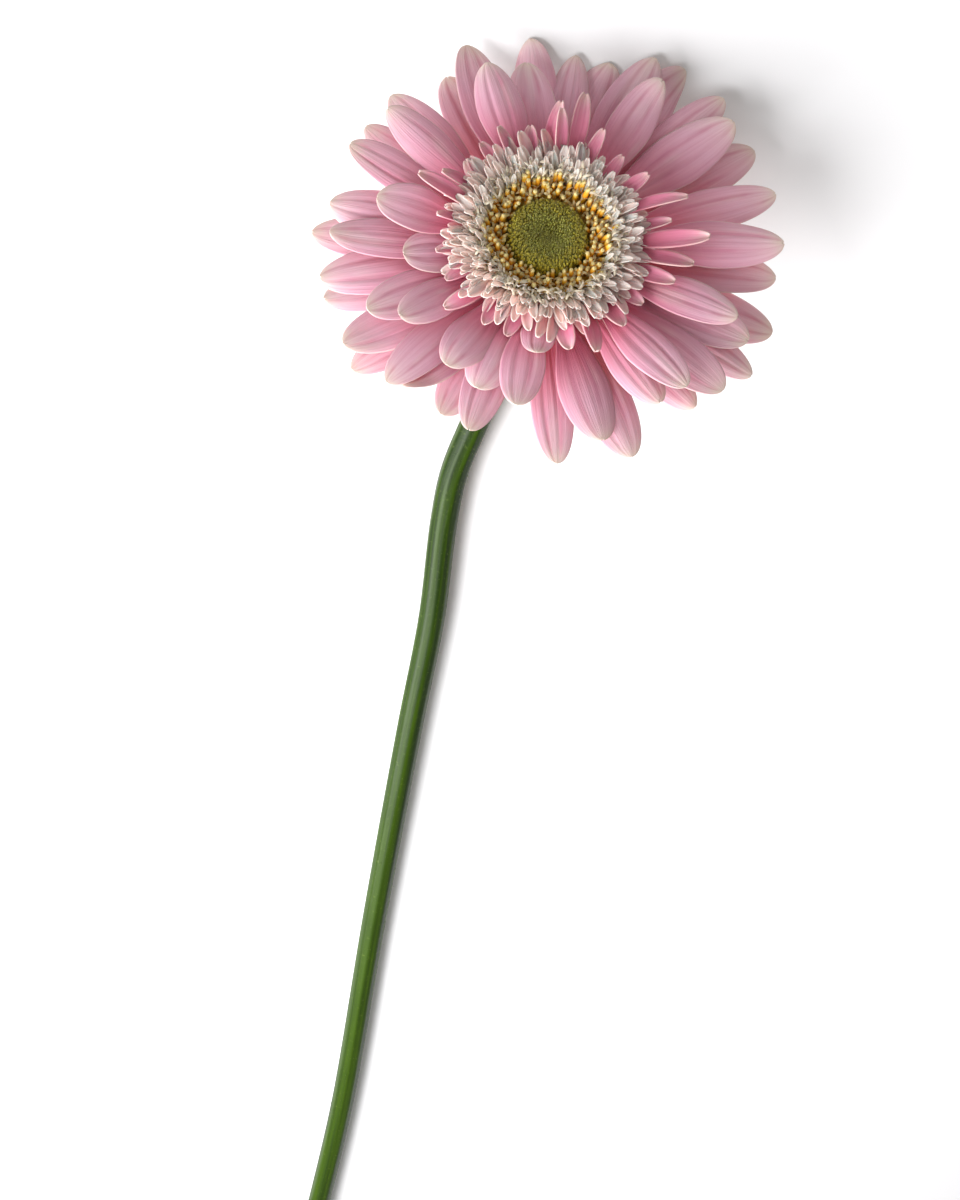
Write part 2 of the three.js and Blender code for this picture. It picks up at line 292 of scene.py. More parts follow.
def scatter(name, template, places):
    """One piece from copies of a template. A place is (matrix, tone), and tone varies colour."""
    gathered = bmesh.new()
    tone_layer = gathered.verts.layers.float.new("tone")
    for matrix, tone in places:
        first = len(gathered.verts)
        gathered.from_mesh(template.data)
        gathered.verts.ensure_lookup_table()
        fresh = gathered.verts[first:]
        bmesh.ops.transform(gathered, matrix=matrix, verts=fresh)
        for vertex in fresh:
            vertex[tone_layer] = tone
    mesh = bpy.data.meshes.new(name)
    gathered.to_mesh(mesh)
    gathered.free()
    piece = bpy.data.objects.new(name, mesh)
    bpy.context.scene.collection.objects.link(piece)
    return piece


def plant(name, template, places, material, slot, node=None):
    """A finished piece from copies of a template. Its node has the slot's name unless given."""
    piece = scatter(name, template, places)
    shade(piece, material)
    finish_piece(piece, slot, node or slot)
    return piece


def discard(template):
    bpy.data.objects.remove(template)


def turned(name, profile, steps):
    """A closed shape turned about the flower's axis from (radius, height) points."""
    clear_selection()
    mesh = bpy.data.meshes.new(name)
    edges = [(i, i + 1) for i in range(len(profile) - 1)]
    mesh.from_pydata([(r, 0, z) for r, z in profile], edges, [])
    piece = bpy.data.objects.new(name, mesh)
    bpy.context.scene.collection.objects.link(piece)
    select_only(piece)
    bpy.ops.object.mode_set(mode="EDIT")
    bpy.ops.mesh.select_all(action="SELECT")
    bpy.ops.mesh.spin(steps=steps, angle=2 * math.pi, center=(0, 0, 0), axis=(0, 0, 1))
    bpy.ops.mesh.select_all(action="SELECT")
    bpy.ops.mesh.remove_doubles(threshold=1e-4)
    bpy.ops.mesh.normals_make_consistent(inside=False)
    bpy.ops.object.mode_set(mode="OBJECT")
    return piece


def around(degrees):
    return Matrix.Rotation(math.radians(degrees), 4, "Z")


def leaning(radius, height, degrees, lean, twist=0.0, size=1.0):
    """Stands a floret at a radius, its length along Z leaning outwards by a number of degrees."""
    return (
        around(degrees)
        @ Matrix.Translation((radius, 0, height))
        @ Matrix.Rotation(math.radians(lean), 4, "Y")
        @ Matrix.Rotation(math.radians(twist), 4, "Z")
        @ Matrix.Scale(size, 4)
    )


# ---------------------------------------------------------------------------------------------
# Node helpers

def put(tree, kind, settings=None, **inputs):
    """A node with its inputs set, each to a value or to another node's socket.

    An input is named by its title, or by its number as n0, n1 and so on.
    """
    node = tree.nodes.new(kind)
    for key, value in (settings or {}).items():
        setattr(node, key, value)
    for key, value in inputs.items():
        numbered = key[0] == "n" and key[1:].isdigit()
        socket = node.inputs[int(key[1:]) if numbered else key.replace("_", " ")]
        if isinstance(value, bpy.types.NodeSocket):
            tree.links.new(value, socket)
        else:
            socket.default_value = value
    return node


def calc(tree, operation, a, b=0.0, c=0.0, clamp=False):
    settings = {"operation": operation, "use_clamp": clamp}
    return put(tree, "ShaderNodeMath", settings, n0=a, n1=b, n2=c).outputs[0]


def ramp(tree, value, low, high, start=0.0, end=1.0):
    """Runs smoothly from start to end while value runs from low to high."""
    node = put(
        tree, "ShaderNodeMapRange", {"interpolation_type": "SMOOTHSTEP"},
        Value=value, From_Min=low, From_Max=high, To_Min=start, To_Max=end,
    )
    return node.outputs[0]


def mixed(tree, factor, a, b, mode="MIX"):
    settings = {"data_type": "RGBA", "blend_type": mode}
    return put(tree, "ShaderNodeMix", settings, n0=factor, n6=a, n7=b).outputs[2]


def washed(tree, body, over, value, low, high, amount):
    """Lays a colour over another, by up to an amount, while value runs from low to high."""
    return mixed(tree, ramp(tree, value, low, high, 0.0, amount), body, over)


def dimmed(tree, body, light):
    """A colour made darker by a value."""
    grey = put(tree, "ShaderNodeCombineXYZ", X=light, Y=light, Z=light).outputs[0]
    return mixed(tree, 1.0, body, grey, "MULTIPLY")


def noise(tree, vector, scale, detail=2.0, roughness=0.5):
    node = put(
        tree, "ShaderNodeTexNoise", Vector=vector, Scale=scale, Detail=detail, Roughness=roughness,
    )
    return node.outputs[0]


def stored(tree, name):
    """A value that is stored on each point of the piece."""
    return put(tree, "ShaderNodeAttribute", {"attribute_name": name}).outputs["Fac"]


def own_place(tree):
    """Where a point is on the piece."""
    return put(tree, "ShaderNodeTexCoord").outputs["Object"]


def uv_place(tree):
    """The U and V of a point."""
    uv = put(tree, "ShaderNodeUVMap").outputs[0]
    return put(tree, "ShaderNodeSeparateXYZ", Vector=uv).outputs


def stretched(tree, place, across, along, shift):
    """The UV map scaled both ways, and shifted so that no two pieces look alike."""
    return put(
        tree, "ShaderNodeCombineXYZ", X=calc(tree, "MULTIPLY", place[0], across),
        Y=calc(tree, "MULTIPLY", place[1], along), Z=shift,
    ).outputs[0]


def opaque(values):
    return (*values, 1.0)


def new_group(name, inputs, outputs):
    """A shader node group with named sockets, given as name: value."""
    group = bpy.data.node_groups.new(name, "ShaderNodeTree")
    for title, value in inputs.items():
        kind = "NodeSocketColor" if isinstance(value, tuple) else "NodeSocketFloat"
        socket = group.interface.new_socket(title, in_out="INPUT", socket_type=kind)
        socket.default_value = opaque(value) if isinstance(value, tuple) else value
    for title, kind in outputs.items():
        group.interface.new_socket(title, in_out="OUTPUT", socket_type=kind)
    given = group.nodes.new("NodeGroupInput").outputs
    return group, given, group.nodes.new("NodeGroupOutput").inputs


def petal_group():
    """Colour and relief of a petal from its UV map: U across it and V from its foot to its tip."""
    white = (0.8, 0.8, 0.8)
    tree, given, result = new_group(
        "petal_surface",
        {"Foot": white, "Blade": white, "Tip": white, "Rim": white, "Painted Shade And Vein": white,
         "Groove Shade Strength": 0.5, "Rim Width": 0.1, "Streaks": 22.0},
        {"Color": "NodeSocketColor", "Height": "NodeSocketFloat"},
    )
    place = uv_place(tree)
    tone = stored(tree, "tone")
    side = calc(tree, "MULTIPLY_ADD", place[0], 2.0, -1.0)
    across = calc(tree, "ABSOLUTE", side)
    shift = calc(tree, "MULTIPLY", tone, 37.0)
    lines = stretched(tree, place, given["Streaks"], 1.6, shift)
    streak = noise(tree, lines, 1.0, 3.0, 0.6)
    cloud = noise(tree, stretched(tree, place, 2.4, 2.2, shift), 1.0, 2.0, 0.5)

    # From foot to tip, then painted shade in the grooves, the streaks, pale clouds and painted
    # shade towards the edges
    body = mixed(tree, ramp(tree, place[1], 0.05, 0.6), given["Foot"], given["Blade"])
    body = mixed(tree, ramp(tree, place[1], 0.5, 1.0), body, given["Tip"])
    # Painted shade in the two side grooves: the fold colour laid over the body
    off_groove = calc(tree, "ABSOLUTE", calc(tree, "SUBTRACT", across, 0.36))
    valley = ramp(tree, off_groove, 0.0, 0.2, 1.0, 0.0)
    depth = calc(tree, "MULTIPLY", valley, given["Groove Shade Strength"])
    depth = calc(tree, "MULTIPLY", depth, ramp(tree, cloud, 0.35, 0.7, 0.15, 1.0))
    body = mixed(tree, depth, body, given["Painted Shade And Vein"])
    body = washed(tree, body, given["Painted Shade And Vein"], streak, 0.4, 0.75, 0.3)
    body = washed(tree, body, given["Tip"], cloud, 0.5, 0.75, 0.35)
    # Painted shade towards the edges, in the fold colour
    body = washed(tree, body, given["Painted Shade And Vein"], across, 0.55, 1.0, 0.3)

    # A pale, broken rim along the edges and round the tip
    inner = calc(tree, "SUBTRACT", 1.0, given["Rim Width"])
    past = calc(tree, "SUBTRACT", across, inner)
    edge = calc(tree, "DIVIDE", past, given["Rim Width"], clamp=True)
    end = ramp(tree, calc(tree, "MULTIPLY_ADD", cloud, 0.3, place[1]), 0.86, 1.2, 0.0, 0.85)
    edge = calc(tree, "MULTIPLY", edge, ramp(tree, cloud, 0.35, 0.65, 0.15, 0.75))
    body = mixed(tree, calc(tree, "MAXIMUM", edge, end), body, given["Rim"])

    body = dimmed(tree, body, calc(tree, "MULTIPLY_ADD", tone, 0.14, 0.9))
    fine = noise(tree, lines, 5.0, 2.0, 0.6)
    height = calc(tree, "MULTIPLY_ADD", streak, 1.0, calc(tree, "MULTIPLY", fine, 0.35))
    tree.links.new(body, result["Color"])
    tree.links.new(height, result["Height"])
    return tree


def flesh_group():
    """Green plant flesh: mottled, with darker streaks along the piece's V and pale specks."""
    green = (0.1, 0.2, 0.05)
    tree, given, result = new_group(
        "plant_flesh",
        {"Light": green, "Dark": green, "Speck": green, "Around": 9.0, "Along": 3.0},
        {"Color": "NodeSocketColor", "Height": "NodeSocketFloat"},
    )
    shift = calc(tree, "MULTIPLY", stored(tree, "tone"), 11.0)
    lines = stretched(tree, uv_place(tree), given["Around"], given["Along"], shift)
    spot = own_place(tree)
    streak = noise(tree, lines, 1.0, 3.0, 0.55)
    grain = noise(tree, spot, 900.0, 2.0, 0.6)
    patch = noise(tree, spot, 60.0, 2.0, 0.5)
    body = mixed(tree, ramp(tree, streak, 0.36, 0.66), given["Dark"], given["Light"])
    body = washed(tree, body, given["Dark"], patch, 0.45, 0.8, 0.3)
    body = washed(tree, body, given["Speck"], grain, 0.6, 0.8, 0.22)
    height = calc(tree, "MULTIPLY_ADD", streak, 0.8, calc(tree, "MULTIPLY", grain, 0.3))
    tree.links.new(body, result["Color"])
    tree.links.new(height, result["Height"])
    return tree


PETAL_SCATTER = (0.9, 0.5, 0.45)    # how far red, green and blue light travel in a petal
LEAF_SCATTER = (0.4, 0.8, 0.2)      # the same in green flesh
SCATTER_DEPTH = 0.0025              # metres that a scatter of 1 stands for
SHEEN_ROUGHNESS = 0.5


def new_material(name, roughness, subsurface=0.0, sheen=0.0, radius=PETAL_SCATTER, gloss=0.35):
    """A principled material, its node tree and its shader."""
    material = bpy.data.materials.new(name)
    material.use_nodes = True
    tree = material.node_tree
    shader = tree.nodes["Principled BSDF"]
    shader.inputs["Roughness"].default_value = roughness
    shader.inputs["Specular IOR Level"].default_value = gloss
    shader.inputs["Subsurface Weight"].default_value = subsurface
    shader.inputs["Subsurface Radius"].default_value = radius
    shader.inputs["Subsurface Scale"].default_value = SCATTER_DEPTH
    shader.inputs["Sheen Weight"].default_value = sheen
    shader.inputs["Sheen Roughness"].default_value = SHEEN_ROUGHNESS
    return material, tree, shader


def bump(tree, shader, height, distance):
    """Raises the surface by up to a distance in metres."""
    node = put(tree, "ShaderNodeBump", Height=height, Distance=distance, Strength=1.0)
    tree.links.new(node.outputs[0], shader.inputs["Normal"])


def surface_material(name, group, values, roughness, relief, **shading):
    """A material whose colour and relief come from a node group with these values."""
    material, tree, shader = new_material(name, roughness, **shading)
    node = tree.nodes.new("ShaderNodeGroup")
    node.node_tree = bpy.data.node_groups[group]
    for title, value in values.items():
        node.inputs[title].default_value = value if isinstance(value, float) else opaque(value)
    tree.links.new(node.outputs["Color"], shader.inputs["Base Color"])
    bump(tree, shader, node.outputs["Height"], relief)
    return material


def blended(a, b, share):
    """The colour at a share of the way from a to b."""
    return tuple(x + (y - x) * share for x, y in zip(a, b))


def ray_materials():
    """Face and underside of the ray petals."""
    tints = bpy.context.scene.gerbera_colours
    # The darker pinks given as fold colours are painted shade in the grooves and towards the edges,
    # and also colour the streaks
    face = surface_material(
        "ray_face", "petal_surface",
        {"Foot": tints.ray_foot, "Blade": tints.ray_blade, "Tip": tints.ray_tip,
         "Rim": tints.ray_rim, "Painted Shade And Vein": colour(200, 112, 140),
         "Groove Shade Strength": 0.8, "Rim Width": 0.05, "Streaks": 26.0},
        0.5, 0.00012, subsurface=0.15, sheen=0.04,
    )
    back = surface_material(
        "ray_underside", "petal_surface",
        {"Foot": colour(196, 172, 124), "Blade": colour(216, 164, 168), "Tip": tints.ray_tip,
         "Rim": tints.ray_rim, "Painted Shade And Vein": colour(196, 136, 144),
         "Groove Shade Strength": 0.5, "Rim Width": 0.06, "Streaks": 16.0},
        0.6, 0.00008, subsurface=0.2, sheen=0.04,
    )
    return face, back


# ---------------------------------------------------------------------------------------------
# Ray petals

RAY_MESH = (22, 54)         # faces across a ray petal and along it
TIP_CROWDING = 1.7          # how much closer the rows of faces are at the tip
FOOT_WIDTH = 0.27           # of the foot, as a share of the blade's
BLADE_START = 0.62          # share of the length where the foot has widened to the blade
TIP_START = 0.58            # share of the length where the tip starts to narrow
TIP_ROUNDNESS = 2.2
TIP_REACH = 0.9985          # how much of the rounding is used, so that the last row stays open
GROOVE_PLACE = 0.34         # of a side fold, as a share of half the petal's width
GROOVE_WIDTH = 0.13
MIDRIB_WIDTH = 0.1
MIDRIB_DEPTH = 0.35         # as a share of a side fold's depth
VEIN_HEIGHT = 0.06          # millimetres
NOTCH_DEPTH = 0.35          # millimetres, of the dent in the tip, on average
NOTCH_WIDTH = 0.3


def ray_half_width(share, width):
    """Half-width at a share of the length: a narrow foot, a long blade and a round tip."""
    blade = FOOT_WIDTH + (1 - FOOT_WIDTH) * smooth(share, 0, BLADE_START)
    tip = np.maximum(share - TIP_START, 0) / (1 - TIP_START)
    rounding = 1 - (TIP_REACH * tip) ** TIP_ROUNDNESS
    return (width / 2) * blade * np.sqrt(np.maximum(rounding, 0.0))


def lift_for(height):
    """How far the surface holds up a point that would sink through it, in millimetres."""
    sunk = np.maximum(height + REST_BAND, 0)
    return np.where(height > REST_BAND, 0, sunk * sunk / (4 * REST_BAND) - height)


# Rays that stand out from the rest: extra roll at the tip in degrees, curl of it in millimetres
RAY_HABITS = {
    ("back", 9): (48, 1.5),
    ("back", 11): (-24, 0.5),
    ("mid_back", 2): (10, 2.0),
    ("mid_back", 11): (20, 0.5),
    ("front", 8): (-14, 1.0),
    ("mid_front", 9): (26, 1.5),
}


def ray_relief(side, share, fullness, index, level, curl):
    """Height of a ray petal's face over its midline, in millimetres.

    The waves in index and level only make each petal a little different.
    """
    sizes = bpy.context.scene.gerbera_sizes
    groove = GROOVE_PLACE + 0.06 * math.sin(4.1 * index + level)
    offset = 0.1 * math.sin(2.9 * index + 1.7 * level)
    inner = np.abs(side - offset * (1 - side * side))
    strength = 0.65 + 0.35 * math.sin(3.7 * index + 1.1 * level)
    folds = -np.exp(-(((inner - groove) / GROOVE_WIDTH) ** 2))
    folds = folds - MIDRIB_DEPTH * np.exp(-((inner / MIDRIB_WIDTH) ** 2))
    veins = VEIN_HEIGHT * np.cos(21 * side + 1.3 * index) * (1 - side * side)
    fold = (sizes.ray_fold / MM * strength * folds + veins) * smooth(share, 0.02, 0.3)
    fold = fold * (1 - 0.55 * smooth(share, 0.8, 1))
    camber = sizes.ray_camber / MM * (0.8 + 0.75 * math.sin(1.3 * index + 0.8 * level))
    ripple = 0.3 * np.sin(7 * share + 2.1 * index + 3 * np.sign(side)) * side ** 4
    channel = 1.1 * (1 - smooth(share, 0.0, 0.45)) * side * side
    height = (fold - camber * side ** 2 + ripple) * fullness + channel
    height += 0.45 * np.sin(5.2 * share + 1.9 * index) * share * (1 - 0.3 * share)
    height += curl * smooth(share, 0.72, 1.0) ** 2
    return height


def hold_up(points, rows, thickness):
    """Lifts each row of a petal that would sink through the surface it rests on."""
    for row in np.unique(rows):
        members = rows == row
        lowest = points[members, 2].min() / MM - thickness / MM / 2
        points[members, 2] += MM * lift_for(lowest)


def shape_ray(sheet, whorl, index, level, degrees, reach):
    """Bends a flat sheet into one ray petal. Its midline is an arc that rises and bends over.

    Returns the share of the full thickness at each point, which is less along the edges.
    """
    flat = points_of(sheet.data)
    side, share = flat[:, 0], 1 - (1 - flat[:, 1]) ** TIP_CROWDING
    foot = RECEPTACLE_TOP - LEVEL_DROP - LEVEL_PITCH * (LEVELS - 1 - level)
    start = DISC_RADIUS + ANTHER_WIDTH - RIM_SLOPE * (RECEPTACLE_TOP - foot) + CLEARANCE
    span = RAY_REACH * reach - start
    rise = math.radians(RAY_RISE + RISE_STEP * level + 0.5 * math.sin(2.4 * index))
    bend = -math.radians(RAY_BEND + BEND_STEP * level) * reach
    sway = RAY_SWAY * math.sin(1.7 * index + level)
    plain = (0, 0.4 * math.sin(2.3 * index + 2 * level))
    extra_roll, curl = RAY_HABITS.get((whorl, index), plain)
    roll = math.radians(RAY_ROLL * math.sin(3.1 * index + 0.6)) * share
    roll = roll + math.radians(extra_roll) * share ** 2
    width = RAY_WIDTH * (1 + WIDTH_SPREAD * math.sin(2.7 * index + 1.3 * level))
    width *= 0.55 + 0.45 * min(reach, 1)
    half = ray_half_width(share, width)
    height = ray_relief(side, share, half / (width / 2), index, level, curl)

    notch_place = 0.3 * math.sin(index)
    notch = NOTCH_DEPTH * (1 + math.sin(5.9 * index + level))
    notch = notch * np.exp(-(((side - notch_place) / NOTCH_WIDTH) ** 2))
    along = share - notch * smooth(share, 0.97, 1) / span
    angle = rise + bend * along
    out = start + span * (np.sin(angle) - math.sin(rise)) / bend
    up = foot + span * (math.cos(rise) - np.cos(angle)) / bend
    y = side * half * np.cos(roll) - height * np.sin(roll) + sway * share ** 2
    z = side * half * np.sin(roll) + height * np.cos(roll)
    local = np.column_stack((out - z * np.sin(angle), y, up + z * np.cos(angle)))
    world = carried(local, HEAD @ around(degrees))
    hold_up(world, np.round(share, 4), bpy.context.scene.gerbera_sizes.ray_thickness)
    set_points(sheet.data, world)
    return 1 - 0.75 * side ** 4 * smooth(share, 0.02, 0.2)


def make_rays():
    """The ray petals of the four whorls. In each whorl, every second ray lies a level higher."""
    face, back = ray_materials()
    sizes = bpy.context.scene.gerbera_sizes
    template = new_grid("ray", *RAY_MESH)
    for number, (whorl, rays) in enumerate(WHORLS.items()):
        for index, (degrees, reach) in enumerate(rays):
            piece = bpy.data.objects.new(f"petal_{whorl}_{index + 1:02d}", template.data.copy())
            bpy.context.scene.collection.objects.link(piece)
            level = 2 * number + index % 2
            weights = shape_ray(piece, whorl, index, level, degrees, reach)
            set_attribute(piece.data, "tone", 0.5 + 0.5 * math.sin(5.3 * index + 1.9 * number))
            shade(piece, back, face)
            thicken(piece, sizes.ray_thickness, weights, under_slot=1)
            finish_piece(piece, "ray_petals", f"ray_{whorl}_{index + 1:02d}")
    discard(template)


# ---------------------------------------------------------------------------------------------
# Florets

STRAP_CROWDING = 1.5        # how much closer a tongue's rows of faces are at its tip
STRAP_THICKNESS = 0.075     # as a share of its width


def strap_template(name, width, reach, bend, cup, foot=0.45, point=2.6, across=3, along=6):
    """A small tongue that grows along Z and bends outwards, over +X. Its edges curl back by cup.

    Its foot is a share of its width, and a lower point gives a sharper tip.
    """
    sheet = new_grid(name, across, along)
    flat = points_of(sheet.data)
    side, share = flat[:, 0], 1 - (1 - flat[:, 1]) ** STRAP_CROWDING
    half = width / 2 * (foot + (1 - foot) * smooth(share, 0, 0.6))
    tip = np.maximum(share - 0.5, 0) / 0.5
    half = half * np.sqrt(np.maximum(1 - (0.985 * tip) ** point, 0.01))
    turn = math.radians(bend)
    angle = turn * share
    dip = cup * side ** 2
    x = reach * (1 - np.cos(angle)) / turn - dip * np.cos(angle)
    z = reach * np.sin(angle) / turn + dip * np.sin(angle)
    set_points(sheet.data, np.column_stack((x, side * half, z)))
    thicken(sheet, width * STRAP_THICKNESS)
    return sheet


def bud_template():
    """A closed floret: a small bud that narrows to its top."""
    sizes = bpy.context.scene.gerbera_sizes
    clear_selection()
    bpy.ops.mesh.primitive_uv_sphere_add(segments=7, ring_count=6, radius=sizes.bud_radius / MM)
    bud = bpy.context.object
    points = points_of(bud.data)
    rise = points[:, 2] / (sizes.bud_radius / MM)
    points[:, :2] *= (1 - 0.25 * np.maximum(rise, 0))[:, None]
    points[:, 2] = points[:, 2] * 1.5 + 0.25 * np.maximum(rise, 0) ** 3
    set_points(bud.data, points)
    set_attribute(bud.data, "along", (rise + 1) / 2)
    return bud


ANTHER_SIDES = 10
ANTHER_RIB = 0.1            # height of its ribs, as a share of its radius
ANTHER_SPLIT = 0.35         # how deep its tip is split, in millimetres

# An anther column's rings, as (share of its length, share of its radius)
ANTHER_PROFILE = (
    (0.18, 0.62), (0.3, 1.0), (0.52, 1.08), (0.76, 0.98), (0.86, 0.7), (0.93, 0.95), (1.0, 0.5),
)


def anther_template():
    """An open floret: a ribbed anther column with a split tip."""
    sizes = bpy.context.scene.gerbera_sizes
    radius = sizes.anther_radius / MM
    tall = sizes.anther_length / MM
    clear_selection()
    bpy.ops.mesh.primitive_cylinder_add(
        vertices=ANTHER_SIDES, radius=radius * 0.6, depth=0.2, end_fill_type="NGON",
    )
    column = bpy.context.object
    bpy.ops.object.mode_set(mode="EDIT")
    bpy.ops.mesh.select_mode(type="FACE")
    bpy.ops.mesh.select_all(action="DESELECT")
    bpy.ops.object.mode_set(mode="OBJECT")
    top = max(column.data.polygons, key=lambda face: face.center.z)
    top.select = True
    bpy.ops.object.mode_set(mode="EDIT")
    for share, wide in ANTHER_PROFILE:
        bpy.ops.mesh.extrude_region_move()
        bpy.ops.object.mode_set(mode="OBJECT")
        points = points_of(column.data)
        chosen = np.array([v.select for v in column.data.vertices])
        centre = points[chosen].mean(axis=0)
        ring = points[chosen] - centre
        ring[:, :2] *= (radius * wide / np.linalg.norm(ring[:, :2], axis=1))[:, None]
        points[chosen] = ring + (0, 0, tall * share)
        set_points(column.data, points)
        bpy.ops.object.mode_set(mode="EDIT")
    bpy.ops.object.mode_set(mode="OBJECT")
    points = points_of(column.data)
    points[:, 2] = np.maximum(points[:, 2], 0)
    rank = points[:, 2] / tall
    spin = np.arctan2(points[:, 1], points[:, 0])
    rib = 1 + ANTHER_RIB * np.cos(5 * spin)
    points[:, :2] *= rib[:, None]
    points[:, 2] += np.where(rank > 0.98, ANTHER_SPLIT * np.cos(2 * spin), 0)
    set_points(column.data, points)
    set_attribute(column.data, "along", rank)
    return column


GOLDEN_ANGLE = 137.508      # degrees from one closed floret to the next
HAIR_TURN = 68              # degrees that set the hair between the florets
DISC_HAIR_RADIUS = 0.035
DISC_HAIR_LENGTH = 1.0
DOME_SINK = 0.9             # how far the dome lies under the florets' height
BUD_SINK = 0.5              # the same for the florets' middles
HAIR_SINK = 0.35            # the same for the feet of the hair

# The disc's height as a share of DISC_HEIGHT, at shares of its radius
DISH_RADII = (0, 0.2, 0.4, 0.75, 0.93, 1)
DISH_HEIGHTS = (0.8, 0.84, 0.93, 1.0, 0.86, 0.5)


def disc_height(share):
    """Height of the disc above its base, in millimetres, at a share of its radius."""
    return DISC_HEIGHT * float(np.interp(share, DISH_RADII, DISH_HEIGHTS))


def along_material(name, stops, roughness, relief, **shading):
    """Colours that run along a floret by its attribute 'along', varied by its tone."""
    material, tree, shader = new_material(name, roughness, **shading)
    along = stored(tree, "along")
    grain = noise(tree, own_place(tree), 2600.0, 2.0, 0.6)
    body = opaque(stops[0][1])
    for (low, _), (high, shade_of) in zip(stops, stops[1:]):
        body = mixed(tree, ramp(tree, along, low, high), body, opaque(shade_of))
    light = calc(tree, "MULTIPLY_ADD", grain, 0.2, 0.7)
    light = calc(tree, "MULTIPLY_ADD", stored(tree, "tone"), 0.35, light)
    body = dimmed(tree, body, light)
    tree.links.new(body, shader.inputs["Base Color"])
    bump(tree, shader, grain, relief)
    return material


def make_disc():
    """The dished green disc: a dome, its closed florets in a spiral, and fine hair between them."""
    tints = bpy.context.scene.gerbera_colours
    sizes = bpy.context.scene.gerbera_sizes
    base = RECEPTACLE_TOP + CLEARANCE
    rim = DISC_RADIUS - CLEARANCE
    shares = (0, 0.2, 0.4, 0.6, 0.75, 0.86, 0.93, 1)
    under = base - 0.2
    profile = [(rim * s, base + disc_height(s) - DOME_SINK) for s in shares]
    dome = turned("disc_dome", profile + [(rim, under), (0, under)], 48)
    dome.data.transform(HEAD)
    set_attribute(dome.data, "along", 0.1)
    set_attribute(dome.data, "tone", 0.3)
    skin = along_material(
        "disc_bud", ((0.0, colour(140, 126, 26)), (0.7, tints.bud), (1.0, tints.bud_tip)),
        0.75, 0.00005, subsurface=0.1,
    )
    young = along_material(
        "disc_young_bud",
        ((0.0, colour(138, 132, 40)), (0.7, colour(172, 168, 60)), (1.0, colour(194, 192, 104))),
        0.75, 0.00005, subsurface=0.2,
    )
    shade(dome, skin)
    finish_piece(dome, "disc_florets", "disc_florets")

    rng = np.random.default_rng(11)
    bud = bud_template()
    inner, outer = [], []
    for k in range(sizes.disc_buds):
        share = math.sqrt((k + 0.5) / sizes.disc_buds) + rng.uniform(-0.014, 0.014)
        height = base + disc_height(share) - BUD_SINK + rng.uniform(-0.15, 0.15)
        lean = rng.uniform(-16, 16) + 90 * max(share - 0.85, 0) - 12 * share
        size = (0.68 + 0.4 * share) * rng.uniform(0.85, 1.15)
        edge = 0.35 * smooth(share, 0.7, 1.0) - 0.3 * (1 - smooth(share, 0.05, 0.5))
        places = inner if share + rng.uniform(-0.12, 0.12) < 0.6 else outer
        degrees = k * GOLDEN_ANGLE + rng.uniform(-3, 3)
        stand = leaning(rim * share, height, degrees, lean, rng.uniform(0, 360), size)
        places.append((HEAD @ stand, float(np.clip(rng.uniform(0.4, 0.8) + edge, 0, 1))))
    for name, places, look in (("disc_buds_inner", inner, young), ("disc_buds_outer", outer, skin)):
        plant(name, bud, places, look, "disc_florets")
    discard(bud)

    hair = hair_template(DISC_HAIR_RADIUS, DISC_HAIR_LENGTH)
    places = []
    for k in range(sizes.disc_hairs):
        share = math.sqrt((k + 0.2) / sizes.disc_hairs)
        height = base + disc_height(share) - HAIR_SINK
        lean = rng.uniform(-45, 30)
        degrees = k * GOLDEN_ANGLE + HAIR_TURN
        stand = leaning(rim * share, height, degrees, lean, 0, rng.uniform(0.7, 1.3))
        places.append((HEAD @ stand, rng.uniform(0.2, 1.0)))
    look = plain_material("disc_hair", colour(182, 176, 78), 0.7, subsurface=0.2)
    plant("disc_hair", hair, places, look, "disc_florets")
    discard(hair)


def hair_template(thick, tall):
    """One fine hair, along Z: a three-sided cone with a blunt tip."""
    clear_selection()
    bpy.ops.mesh.primitive_cone_add(vertices=3, radius1=thick, radius2=thick * 0.2, depth=tall)
    hair = bpy.context.object
    hair.data.transform(Matrix.Translation((0, 0, tall / 2)))
    return hair


def plain_material(name, base, roughness, **shading):
    """One colour, broken up by a fine grain and by the piece's tone."""
    material, tree, shader = new_material(name, roughness, **shading)
    grain = noise(tree, own_place(tree), 1200.0, 2.0)
    light = calc(tree, "MULTIPLY_ADD", stored(tree, "tone"), 0.22, 0.74)
    light = calc(tree, "MULTIPLY_ADD", grain, 0.2, light)
    tree.links.new(dimmed(tree, opaque(base), light), shader.inputs["Base Color"])
    return material


# Rows of open florets, as (florets, radius, height, lean outwards in degrees, size)
ANTHER_ROWS = (
    (46, 10.2, 2.0, -14, 0.82),
    (50, 11.0, 2.2, -4, 0.95),
    (54, 11.9, 2.5, 8, 1.0),
    (56, 12.8, 2.9, 18, 1.0),
    (56, 13.6, 3.2, 30, 0.92),
)


